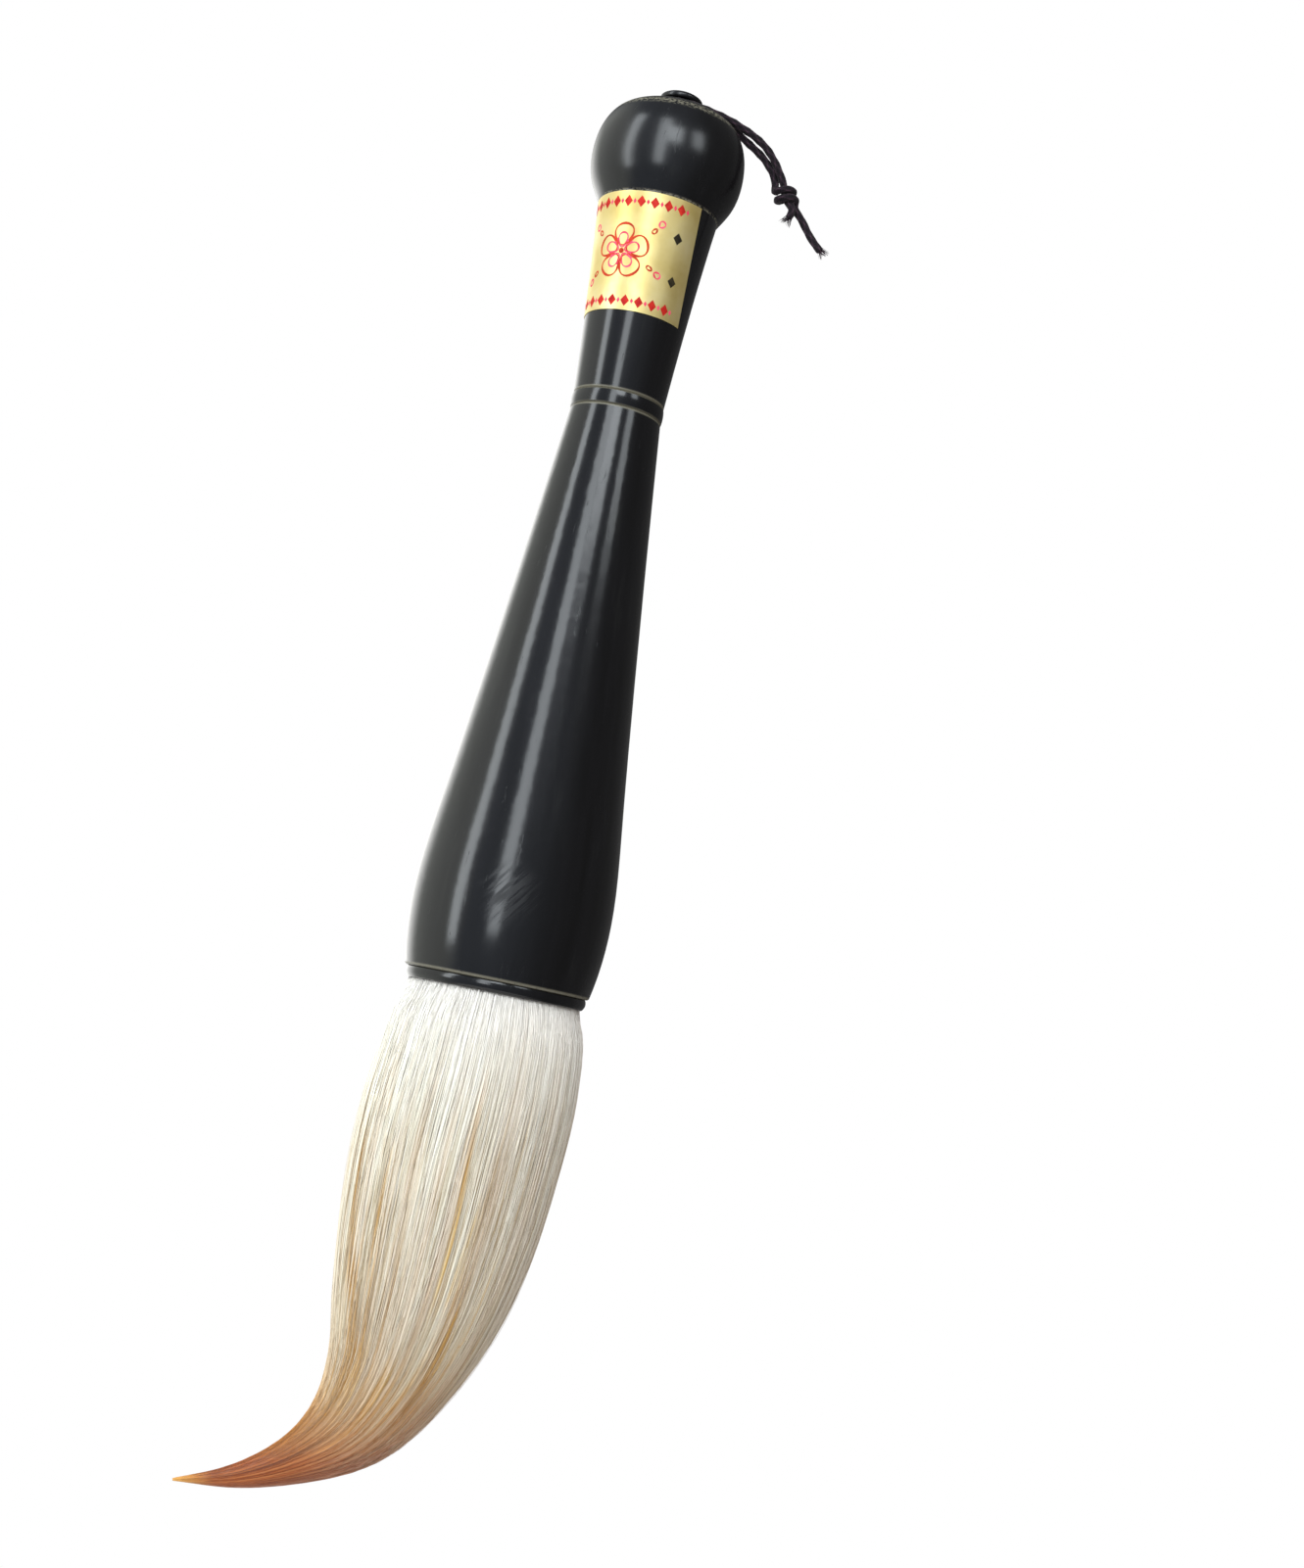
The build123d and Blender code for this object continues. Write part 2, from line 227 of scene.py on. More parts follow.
def add_light(name, azimuth, elevation, distance, size, power, colour=(1, 1, 1), mirrored=True):
    """An area light that faces the origin; azimuth counts from the camera's side towards +X."""
    data = bpy.data.lights.new(name, "AREA")
    data.shape, data.size, data.size_y = "RECTANGLE", size[0], size[1]
    data.energy, data.color = power, colour
    lamp = bpy.data.objects.new(name, data)
    turn, rise = radians(azimuth), radians(elevation)
    lamp.location = distance * Vector((cos(rise) * sin(turn), -cos(rise) * cos(turn), sin(rise)))
    lamp.rotation_euler = (-lamp.location).to_track_quat("-Z", "Y").to_euler()
    lamp.visible_glossy = mirrored
    bpy.context.scene.collection.objects.link(lamp)


def make_world():
    """White behind the brush; an even room that lights the hair; darker walls in its reflections."""
    world = bpy.data.worlds.new("studio")
    bpy.context.scene.world = world
    world.use_nodes = True
    tree = world.node_tree
    tree.nodes.clear()
    link = tree.links.new

    def add(kind, **settings):
        node = tree.nodes.new("ShaderNode" + kind)
        for key, value in settings.items():
            setattr(node, key, value)
        return node

    def ramp(value, low, high, dim, bright):
        """A colour that goes from dim to bright as the value goes from low to high."""
        share = add("MapRange", interpolation_type="SMOOTHSTEP")
        share.inputs["From Min"].default_value, share.inputs["From Max"].default_value = low, high
        link(value, share.inputs["Value"])
        mix = add("Mix", data_type="RGBA")
        link(share.outputs[0], mix.inputs[0])
        for socket, colour in ((mix.inputs[6], dim), (mix.inputs[7], bright)):
            if isinstance(colour, tuple):
                socket.default_value = (*colour, 1)
            else:
                link(colour, socket)
        return mix.outputs[2]

    def towards(*direction):
        """How far a ray goes in this direction."""
        dot = add("VectorMath", operation="DOT_PRODUCT")
        link(add("TexCoord").outputs["Generated"], dot.inputs[0])
        dot.inputs[1].default_value = direction
        return dot.outputs["Value"]

    def background(colour):
        shader = add("Background")
        link(colour, shader.inputs["Color"])
        return shader.outputs[0]

    def choose(test, if_false, if_true):
        mix = add("MixShader")
        for socket, value in zip(mix.inputs, (test, if_false, if_true)):
            link(value, socket)
        return mix.outputs[0]

    ray = add("LightPath")
    room = background(ramp(towards(-1, 0, 0), -1, 1, ROOM_RIGHT, ROOM_LEFT))
    walls = ramp(towards(-0.8, -0.6, 0), -0.6, 0.9, DARK_WALL, FRONT_WALL)
    walls = ramp(towards(-1, 0.3, 0), 0.48, 0.85, walls, PALE_WALL)
    mirrored = background(ramp(towards(-0.45, 0.89, 0), 0.84, 1.0, walls, BACKDROP))
    lit = choose(ray.outputs["Is Glossy Ray"], room, mirrored)
    white = add("Background")
    white.inputs["Color"].default_value = (1, 1, 1, 1)
    seen = choose(ray.outputs["Is Camera Ray"], lit, white.outputs[0])
    link(seen, add("OutputWorld").inputs[0])


def make_stage():
    """A pale round floor below the hair: it returns light from below but isn't seen itself."""
    nodes = Nodes("pale_floor")
    place = nodes.add("TexCoord").outputs["Object"]
    tone = nodes.noise(place, 6.0, 3.0)
    colour = nodes.ramp(tone, [(0.3, srgb(236, 236, 236)), (0.7, srgb(244, 244, 243))])
    material = nodes.finish(Base_Color=colour, Roughness=0.8)
    steps, radius, height = 96, 420, -620
    turns = [tau * i / steps for i in range(steps)]
    rim = [(radius * cos(turn), radius * sin(turn), height) for turn in turns]
    floor = add_mesh("floor", rim, [list(range(steps))], material)
    floor.visible_camera = False


def make_lights():
    """A soft key from the left that nothing mirrors, and the window strips that the handle mirrors."""
    add_light("key", -32, 24, 1.05, (0.5, 0.5), 4.3, (1.0, 0.99, 0.97), mirrored=False)
    add_light("strip_left", -61, 18, 0.75, (0.17, 0.95), 2.5, WINDOW_LIGHT)
    add_light("strip_near", -13, 20, 0.75, (0.19, 0.9), 2.5, WINDOW_LIGHT)
    add_light("high_window_1", 5, 33, 0.8, (0.24, 0.24), 1.15, WINDOW_LIGHT)
    add_light("high_window_2", 40, 33, 0.8, (0.2, 0.24), 0.6, WINDOW_LIGHT)
    bpy.context.scene.view_settings.view_transform = "Standard"


# ---- Materials of the handle -------------------------------------------------------------------
# The edges painted with grey bands, partly wear and partly painted edge highlights: (height above
# the mouth, how far the band reaches from it, how unbroken it is, from 0 for scattered chips)
EDGE_WEAR_AND_HIGHLIGHTS = [
    (2.4, 0.42, 1.2),
    (114.3, 0.45, 1.6),
    (117.5, 0.45, 1.6),
    (156.3, 0.3, 0.0),
    (174.6, 1.1, 0.0),
]
SCRATCH_MIDDLE = (MOUTH + Vector((0.2, -19, 18))) * MM
SCRATCH_REACH = 7.0
SCRATCH_SLANT = -0.65  # radians about Y
KNOB_FROM = 156  # height above the mouth


def horn_material():
    """Polished black horn: faint grain along the handle, fine scratches, grey edges of wear and
    painted highlight.
    """
    nodes = Nodes("black_horn")
    place = nodes.add("TexCoord").outputs["Object"]
    height = nodes.add("SeparateXYZ", Vector=place).outputs["Z"]
    grain = nodes.noise(nodes.scaled(place, 260, 260, 14), 1.0, 5.0, 0.6)
    colour = nodes.ramp(
        grain, [(0.35, srgb(10, 10, 11)), (0.6, srgb(16, 16, 18)), (0.8, srgb(30, 31, 30))]
    )
    chips = nodes.noise(place, 1900.0, 3.0)
    chips_and_edge_highlights = 0.0
    for edge, width, unbroken in EDGE_WEAR_AND_HIGHLIGHTS:
        offset = nodes.maths("ABSOLUTE", nodes.maths("SUBTRACT", height, (MOUTH.z + edge) * MM))
        band = nodes.maths("MULTIPLY_ADD", offset, -1 / (width * MM), 1.0, clamp=True)
        broken = nodes.maths("MULTIPLY_ADD", chips, 7.0, unbroken - 3.0, clamp=True)
        chips_and_edge_highlights = nodes.maths("MAXIMUM", nodes.maths("MULTIPLY", band, broken), chips_and_edge_highlights)
    # Grey bands along the edges: partly wear, partly painted highlights where the edges catch the
    # light.
    colour = nodes.mix(nodes.maths("MULTIPLY", chips_and_edge_highlights, 0.9), colour, srgb(122, 119, 103))
    scuffs = nodes.noise(nodes.scaled(place, 900, 900, 90), 1.0, 4.0, 0.7)
    scratch = nodes.maths("MULTIPLY_ADD", scuffs, 12.0, -7.6, clamp=True)
    slanted = nodes.add(
        "VectorRotate", {"rotation_type": "Y_AXIS"}, Vector=place, Angle=SCRATCH_SLANT
    ).outputs[0]
    crossed = nodes.noise(nodes.scaled(slanted, 1100, 150, 110), 1.0, 3.0)
    crossed = nodes.maths("MULTIPLY_ADD", crossed, 6.0, -2.6, clamp=True)
    away = nodes.add("VectorMath", {"operation": "DISTANCE"}, i0=place, i1=tuple(SCRATCH_MIDDLE))
    patch = nodes.maths(
        "MULTIPLY_ADD", away.outputs["Value"], -1.4 / (SCRATCH_REACH * MM), 1.4, clamp=True
    )
    rubbed = nodes.maths("MULTIPLY", patch, crossed)
    knob = nodes.maths("MULTIPLY_ADD", height, 1 / (5 * MM), -(MOUTH.z + KNOB_FROM) / 5, clamp=True)
    rough = nodes.maths("MULTIPLY_ADD", scratch, 0.2, nodes.maths("MULTIPLY_ADD", knob, 0.07, 0.16))
    dull = nodes.maths("MAXIMUM", rubbed, chips_and_edge_highlights)
    rough = nodes.maths("ADD", rough, nodes.maths("MULTIPLY", dull, 0.3))
    fine = nodes.noise(nodes.scaled(place, 1500, 1500, 300), 1.0, 3.0)
    waves = nodes.noise(place, 90.0, 2.0)
    relief = nodes.maths("ADD", nodes.maths("MULTIPLY", fine, 0.12), waves)
    relief = nodes.maths("ADD", relief, nodes.maths("MULTIPLY", rubbed, -0.06))
    normal = nodes.bump(relief, 0.05, 0.0003)
    return nodes.finish(Base_Color=colour, Roughness=rough, Normal=normal, IOR=1.54)


def plain_fibre(name, dark, light, roughness=0.8):
    """Thread or set glue: two colours in fine noise with a matching relief."""
    nodes = Nodes(name)
    place = nodes.add("TexCoord").outputs["Object"]
    tone = nodes.noise(place, 1500.0, 4.0)
    colour = nodes.ramp(tone, [(0.3, dark), (0.7, light)])
    return nodes.finish(Base_Color=colour, Roughness=roughness, Normal=nodes.bump(tone, 0.5, 0.0002))


def foil_material():
    """Gold foil paper: bright metal with faint clouds, fine brushing and shallow creases."""
    nodes = Nodes("gold_foil")
    place = nodes.add("TexCoord").outputs["Object"]
    clouds = nodes.noise(place, 160.0, 3.0)
    colour = nodes.ramp(
        clouds, [(0.3, srgb(216, 192, 118)), (0.55, srgb(230, 210, 142)), (0.8, srgb(240, 224, 168))]
    )
    grain = nodes.noise(nodes.scaled(place, 300, 300, 6000), 1.0, 2.0)
    rough = nodes.maths("MULTIPLY_ADD", grain, 0.12, 0.34)
    relief = nodes.maths("ADD", nodes.maths("MULTIPLY", grain, 0.2), clouds)
    return nodes.finish(
        Base_Color=colour, Metallic=0.75, Roughness=rough, Normal=nodes.bump(relief, 0.08, 0.0003)
    )


def ink_material(name, dark, light):
    """Printed ink, a little uneven, with the paper's fine grain in its gloss."""
    nodes = Nodes(name)
    place = nodes.add("TexCoord").outputs["Object"]
    tone = nodes.noise(place, 700.0, 3.0)
    grain = nodes.noise(nodes.scaled(place, 300, 300, 6000), 1.0, 2.0)
    colour = nodes.ramp(tone, [(0.35, dark), (0.65, light)])
    normal = nodes.bump(grain, 0.1, 0.0001)
    return nodes.finish(Base_Color=colour, Roughness=0.55, Normal=normal, Specular_IOR_Level=0.2)


def dress_handle():
    """Gives the turned horn pieces, the label, the glue bed and the binding thread their materials."""
    horn = horn_material()
    turned = ("barrel", "mouth_ring", "waist_ring", "neck", "knob", "end_button")
    finishes = {name: horn for name in turned}
    finishes["label"] = foil_material()
    finishes["glue_bed"] = plain_fibre("rosin", srgb(70, 38, 14), srgb(120, 72, 30), 0.3)
    finishes["binding_thread"] = plain_fibre("linen_thread", srgb(176, 160, 130), srgb(216, 204, 178))
    for name, material in finishes.items():
        for slot in frame["nodes"][name].material_slots:
            slot.material = material


# ---- Print on the label ------------------------------------------------------------------------
# The print is a made-up ornament: a plum blossom with buds, two lozenge borders and two small marks.
LABEL_AZIMUTH = radians(-112)
LABEL_MIDDLE = 144.35  # height above the mouth
BORDER_HEIGHTS = (9.6, -9.8)  # above the label's middle
INK_ABOVE, INK_BELOW = 0.03, -0.02  # the ink's two faces, from the label's face
OUTSIDE = 40  # a distance from the axis that is clear of the handle


def onto_label(shell, across, up):
    """The point of the label's face this far across and up from its middle, and the way out of it."""
    height = (MOUTH.z + LABEL_MIDDLE + up) * MM
    angle = LABEL_AZIMUTH
    for _ in range(3):
        outward = Vector((cos(angle), sin(angle), 0))
        place = shell.ray_cast(outward * OUTSIDE * MM + Vector((0, 0, height)), -outward)[0]
        angle = LABEL_AZIMUTH + across * MM / place.xy.length
    return place / MM, outward


def print_shapes(name, strokes, material):
    """Strokes of ink as thin closed plates; each is a line of (across, up, half-width) points."""
    label = frame["nodes"]["label"].data
    corners, sheets = [v.co for v in label.vertices], [list(p.vertices) for p in label.polygons]
    shell = BVHTree.FromPolygons(corners, sheets)
    points, faces = [], []
    for stroke in strokes:
        line = np.array(stroke)
        closed = np.allclose(line[0], line[-1])
        step = np.gradient(line, axis=0)
        if closed:
            step[0] = step[-1] = line[1] - line[-2]
        side = unit(np.stack([-step[:, 1], step[:, 0]], -1)) * line[:, 2:]
        first = np.arange(len(points), len(points) + 4)
        for left, right in zip(line[:, :2] + side, line[:, :2] - side):
            for edge, lift in (
                (left, INK_ABOVE), (right, INK_ABOVE), (right, INK_BELOW), (left, INK_BELOW)
            ):
                place, outward = onto_label(shell, *edge)
                points.append(tuple(place + outward * lift))
        after = np.roll(first, -1)
        for i in range(len(line) - 1):
            here, there = 4 * i, 4 * (i + 1)
            quads = np.stack([first + here, after + here, after + there, first + there], -1)
            faces += quads.tolist()
        faces.append(first[::-1].tolist())
        faces.append((first + 4 * (len(line) - 1)).tolist())
    piece = add_mesh(name, points, faces, material)
    piece.data.polygons.foreach_set("use_smooth", [False] * len(faces))
    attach(piece, "handle")


def dot(x, y, size):
    """A round dot, as one short stroke that swells and narrows."""
    outline = ((-0.97, 0.25), (-0.6, 0.8), (0, 1), (0.6, 0.8), (0.97, 0.25))
    return [(x + size * a, y, size * b) for a, b in outline]


def lozenge(x, y, wide, tall):
    """A lozenge, as one short stroke; wide and tall are half its width and height."""
    return [(x - wide, y, 0.04), (x, y, tall), (x + wide, y, 0.04)]


def petal(middle, heading, length, width, line):
    """The outline of a rounded petal that starts near a middle point and heads outward."""
    points = []
    for i in range(25):
        a = tau * i / 24
        along, aside = length * (0.6 + 0.4 * cos(a)), width * sin(a) * (1 + 0.3 * cos(a))
        x = middle[0] + along * cos(heading) - aside * sin(heading)
        y = middle[1] + along * sin(heading) + aside * cos(heading)
        points.append((x, y, line * (1 + 0.3 * cos(3 * a))))
    return points


def ray(middle, heading, near, far, line):
    """A short straight line that points away from the middle."""
    reach = (near, (near + far) / 2, far)
    return [(middle[0] + r * cos(heading), middle[1] + r * sin(heading), line) for r in reach]


def make_label_print():
    """The blossom, its buds, the borders and the two marks, each kind in its own ink."""
    blossom, pink, borders = [], [], []
    flower = (-1.0, -0.2)
    for i in range(5):
        heading = pi / 2 + i * tau / 5
        blossom.append(petal(flower, heading, 5.4, 1.95, 0.2))
        pink.append(petal(flower, heading, 3.6, 0.95, 0.16))
        for turn, far in ((heading + 0.45, 2.6), (heading + 0.75, 2.2)):
            blossom.append(ray(flower, turn, 1.2, far, 0.1))
            pink.append(dot(flower[0] + far * cos(turn), flower[1] + far * sin(turn), 0.22))
    blossom.append(dot(*flower, 0.55))
    for x, y, turn in ((5.6, 5.0, 0.9), (5.9, -3.4, -0.5), (-7.8, 4.4, 2.4), (-7.4, -5.0, 3.9)):
        pink.append(petal((x, y), turn, 1.7, 0.55, 0.14))
        blossom.append(petal((x, y), turn + pi, 1.5, 0.35, 0.14))
    for up in BORDER_HEIGHTS:
        for i in range(9):
            x = -12.0 + i * 2.7
            borders.append(lozenge(x, up, 0.85, 1.15))
            pink.append(lozenge(x + 1.35, up, 0.3, 0.55))
    marks = [lozenge(9.8, 4.1, 0.95, 1.15), lozenge(10.1, -4.2, 0.9, 1.1)]
    for name, strokes, ink, dark, light in (
        ("label_blossom", blossom, "red_ink", (160, 34, 12), (192, 64, 28)),
        ("label_border", borders, "scarlet_ink", (158, 12, 10), (192, 40, 28)),
        ("label_buds", pink, "rose_ink", (206, 40, 78), (230, 84, 118)),
        ("label_marks", marks, "black_ink", (26, 22, 12), (52, 46, 28)),
    ):
        print_shapes(name, strokes, ink_material(ink, srgb(*dark), srgb(*light)))


# ---- Hair --------------------------------------------------------------------------------------
# The tuft's sections: (x, depth below the mouth, radius, lean of the hair towards -X in degrees)
SECTIONS = np.array(
    [
        (0.0, 0.0, 15.9, 0),
        (0.0, 3.0, 17.2, 0),
        (-0.1, 15.0, 19.1, 0),
        (-0.8, 30.0, 19.4, 2),
        (-1.3, 45.0, 18.3, 2),
        (-2.4, 60.0, 15.7, 5),
        (-4.6, 72.4, 12.0, 12),
        (-9.7, 83.2, 8.4, 32),
        (-18.1, 90.6, 4.65, 57),
        (-29.1, 96.2, 2.0, 66),
        (-39.6, 98.8, 0.25, 72),
    ]
)
STEPS = np.hypot(np.diff(SECTIONS[:, 0]), np.diff(SECTIONS[:, 1]))
TUFT_LENGTH = STEPS.sum()  # along its middle
SECTION_KEYS = np.concatenate([[0], np.cumsum(STEPS)]) / TUFT_LENGTH
SOCKET_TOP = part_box("outer_hair_root")[1].z / MM - MOUTH.z
# Amber streaks: (from, angle there, to, angle there, half-width in mm, strength), with angles in
# degrees about the tuft from +X, and places along it from 0 at the mouth to 1 at the tip
AMBER_STREAKS = [
    (0.08, -80, 0.52, -78, 0.42, 0.85),
    (0.29, -70, 0.49, -70, 0.40, 0.80),
    (0.30, -51, 0.62, -45, 0.55, 0.50),
    (0.22, -146, 0.52, -140, 0.75, 0.85),
    (0.40, -140, 0.80, -118, 1.10, 1.05),
    (0.20, -121, 0.68, -119, 0.50, 0.90),
    (0.40, -70, 0.74, -50, 0.80, 0.90),
    (0.55, -92, 0.82, -92, 0.60, 0.80),
    (0.50, -64, 0.74, -61, 0.45, 0.65),
    (0.09, -135, 0.30, -127, 0.45, 0.25),
    (0.30, -134, 0.60, -128, 0.30, 0.45),
    (0.36, -104, 0.70, -106, 0.35, 0.30),
    (0.45, -33, 0.80, -30, 0.60, 0.50),
    (0.22, 150, 0.60, 140, 0.90, 0.80),
    (0.48, 140, 0.85, 120, 1.10, 0.90),
    (0.12, 84, 0.55, 82, 0.50, 0.75),
    (0.35, 112, 0.80, 104, 0.70, 0.70),
    (0.42, 62, 0.80, 52, 0.80, 0.75),
    (0.35, 25, 0.80, 28, 0.70, 0.50),
    (0.28, 178, 0.70, 176, 0.60, 0.60),
]


def tuft_point(along, around, share):
    """Points of the tuft: along is 0 at the mouth and 1 at the tip, share is 1 on its surface."""
    along, around, share = np.broadcast_arrays(along, around, share)
    centre_x, depth, radius, lean = np.moveaxis(
        smooth_through(SECTION_KEYS, SECTIONS, np.clip(along, 0, 1)), -1, 0
    )
    inside = along < 0
    radius = np.where(inside, SECTIONS[0, 2], radius)
    depth = np.where(inside, along * TUFT_LENGTH, depth)
    tilt = np.radians(np.where(inside, 0, lean))
    sideways = np.maximum(radius, 0.12) * share * np.cos(around)
    points = np.stack(
        [
            centre_x * ~inside + sideways * np.cos(tilt),
            np.maximum(radius, 0.12) * share * np.sin(around),
            -depth - sideways * np.sin(tilt),
        ],
        -1,
    )
    return points + np.array(MOUTH)


def amber(along, around):
    """How amber the hair is at a place on the tuft, from 0 to 1."""
    radius = smooth_through(SECTION_KEYS, SECTIONS, np.clip(along, 0, 1))[..., 2]
    inner_curve = np.cos(around + pi)  # 1 on the side that the tip bends to
    outer_curve = np.clip(np.cos(around - radians(-35)), 0, 1)
    # All of the tip, sooner on the outside of its curve; then ragged lines that run up from it
    total = 0.95 * smoothstep(0.64, 0.87, along + 0.05 * inner_curve + 0.13 * outer_curve)
    lines = ripple(around, 0.4 * along, 22, 64, 6, 9) + 0.35 * np.cos(around - radians(-50))
    total = total + 0.95 * smoothstep(0.48, 0.7, along) * smoothstep(0.1, 0.8, lines)
    threads = 0.8 + 0.35 * ripple(around, along, 70, 150, 8, 11)
    for start, turn_from, end, turn_to, width, strength in AMBER_STREAKS:
        share = (along - start) / (end - start)
        sway = 0.6 / radius * np.sin(9 * along + 40 * start)
        angle = radians(turn_from) + radians(turn_to - turn_from) * np.clip(share, 0, 1) + sway
        offset = (around - angle + pi) % tau - pi
        spread = width * (0.85 + 0.6 * np.clip(share, 0, 1))
        ridge = np.exp(-((offset * radius / spread) ** 2))
        fade = smoothstep(0, 0.3, share) * (1 - smoothstep(0.8, 1.0, share))
        total = total + 1.55 * strength * ridge * fade * threads
    return np.clip(total, 0, 1)


def ripple(around, along, low, high, count, seed):
    """A periodic, gently drifting pattern round the tuft, about -1 to 1."""
    draw = np.random.default_rng(seed)
    total = 0
    for _ in range(count):
        times, phase = draw.integers(low, high), draw.uniform(0, tau)
        drift, bend = draw.uniform(-2.0, 2.0), draw.uniform(0.3, 1.3)
        total = total + np.cos(times * around + phase + drift * np.sin(bend * along * tau))
    return total / np.sqrt(count)


def hair_material():
    """Goat hair: near white at the mouth, cream below, then gold, and rust-brown at the tip."""
    nodes = Nodes("hair")
    flow = nodes.attribute("flow", "Vector")
    along, tone, gold = (nodes.attribute(name) for name in ("along", "tone", "gold"))
    side = nodes.add("SeparateXYZ", Vector=flow).outputs["X"]
    fine = nodes.noise(nodes.scaled(flow, 90, 90, 2.5), 1.0, 4.0, 0.6)
    locks = nodes.noise(nodes.scaled(flow, 26, 26, 1.8), 1.0, 3.0, 0.55)
    broad = nodes.noise(nodes.scaled(flow, 7, 7, 1.2), 1.0, 2.0)
    pale = nodes.ramp(
        along,
        [
            (0.0, srgb(251, 250, 246)),
            (0.10, srgb(245, 245, 237)),
            (0.22, srgb(239, 239, 229)),
            (0.40, srgb(236, 233, 220)),
            (0.55, srgb(233, 226, 208)),
            (0.68, srgb(230, 212, 186)),
            (0.80, srgb(208, 150, 104)),
            (1.0, srgb(200, 140, 80)),
        ],
    )
    shade = nodes.maths("ADD", nodes.maths("MULTIPLY", fine, 0.5), nodes.maths("MULTIPLY", locks, 0.5))
    # Tone is random for each strand; on the bundle it follows the grooves as painted shade.
    shade = nodes.maths("ADD", shade, nodes.maths("MULTIPLY", tone, 0.16))
    value = nodes.ramp(
        shade, [(0.33, srgb(196, 180, 154)), (0.44, srgb(238, 233, 221)), (0.56, srgb(255, 255, 254))]
    )
    strands = nodes.mix(1.0, pale, value, "MULTIPLY")
    grown = nodes.maths("MULTIPLY_ADD", along, 3.4, 0.06, clamp=True)
    colour = nodes.mix(grown, pale, strands)
    rosy = nodes.mix(1.0, colour, srgb(240, 224, 214), "MULTIPLY")
    blush = nodes.maths("MULTIPLY", nodes.maths("MULTIPLY_ADD", broad, 2.0, -0.7, clamp=True), grown)
    colour = nodes.mix(blush, colour, rosy)
    golden = nodes.ramp(
        locks, [(0.3, srgb(170, 118, 34)), (0.5, srgb(204, 156, 68)), (0.66, srgb(230, 198, 122))]
    )
    rusty = nodes.ramp(
        locks, [(0.34, srgb(106, 48, 26)), (0.48, srgb(170, 88, 40)), (0.66, srgb(204, 130, 74))]
    )
    # The gold turns to rust sooner on the outer side of the bend, and pale again at the very tip
    lean = nodes.maths("MULTIPLY_ADD", side, 0.10, along)
    warm = nodes.mix(nodes.maths("MULTIPLY_ADD", lean, 5.0, -3.0, clamp=True), golden, rusty)
    very_tip = nodes.maths("MULTIPLY_ADD", along, 14.0, -13.1, clamp=True)
    warm = nodes.mix(very_tip, warm, srgb(222, 168, 78))
    uneven = nodes.maths("MULTIPLY_ADD", fine, 1.6, -0.8)
    uneven = nodes.maths("MULTIPLY", uneven, nodes.maths("MULTIPLY", along, 0.6))
    strength = nodes.maths("ADD", gold, uneven, clamp=True)
    colour = nodes.mix(nodes.maths("MULTIPLY", strength, 0.95), colour, warm)
    ridges = nodes.noise(nodes.scaled(flow, 150, 150, 2.0), 1.0, 3.0, 0.6)
    return nodes.finish(
        Base_Color=colour,
        Roughness=0.45,
        Normal=nodes.bump(ridges, 0.22, 0.0002),
        IOR=1.5,
        Sheen_Weight=0.22,
        Sheen_Roughness=0.35,
    )


def hair_values(along, around, tone):
    """The numbers that the hair material reads at each point."""
    flow = np.stack([np.cos(around), np.sin(around), along], -1)
    return {
        "flow": flow.reshape(-1, 3),
        "along": along.ravel(),
        "tone": tone.ravel(),
        "gold": amber(along, around).ravel(),
    }


def make_hair_bundle(material):
    """The closed body of the tuft, grooved along the hair, from the glue in the socket to the tip."""
    columns, rows = 480, 200
    top = -SOCKET_TOP / TUFT_LENGTH
    inside, below = np.linspace(top, 0, 12, endpoint=False), np.linspace(0, 1, rows - 12) ** 0.94
    along = np.concatenate([inside, below])
    around = np.linspace(0, tau, columns, endpoint=False)
    along, around = np.meshgrid(along, around, indexing="ij")
    waves = 0.5 * ripple(around, along, 12, 34, 7, 1) + 0.5 * ripple(around, along, 45, 110, 12, 2)
    depth = 0.012 * smoothstep(0.02, 0.3, along) + 0.002
    share = 0.965 + depth * waves
    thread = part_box("binding_thread")
    low, high = (corner.z / MM - MOUTH.z for corner in thread)
    height = -along * TUFT_LENGTH
    tied = smoothstep(low - 1.5, low, height) * (1 - smoothstep(high, high + 1.5, height))
    share = np.where(along < 0, np.minimum(share, 0.97 - 0.05 * tied), share)
    points = tuft_point(along, around, share)
    faces = [face[::-1] for face in tube_faces(1, rows, columns)]
    # The tone follows the grooves: painted shade darkens the grooves and painted light brightens the
    # ridges.
    values = hair_values(along, around, waves * 0.5)
    return add_mesh("hair_bundle", points, faces, material, **values)


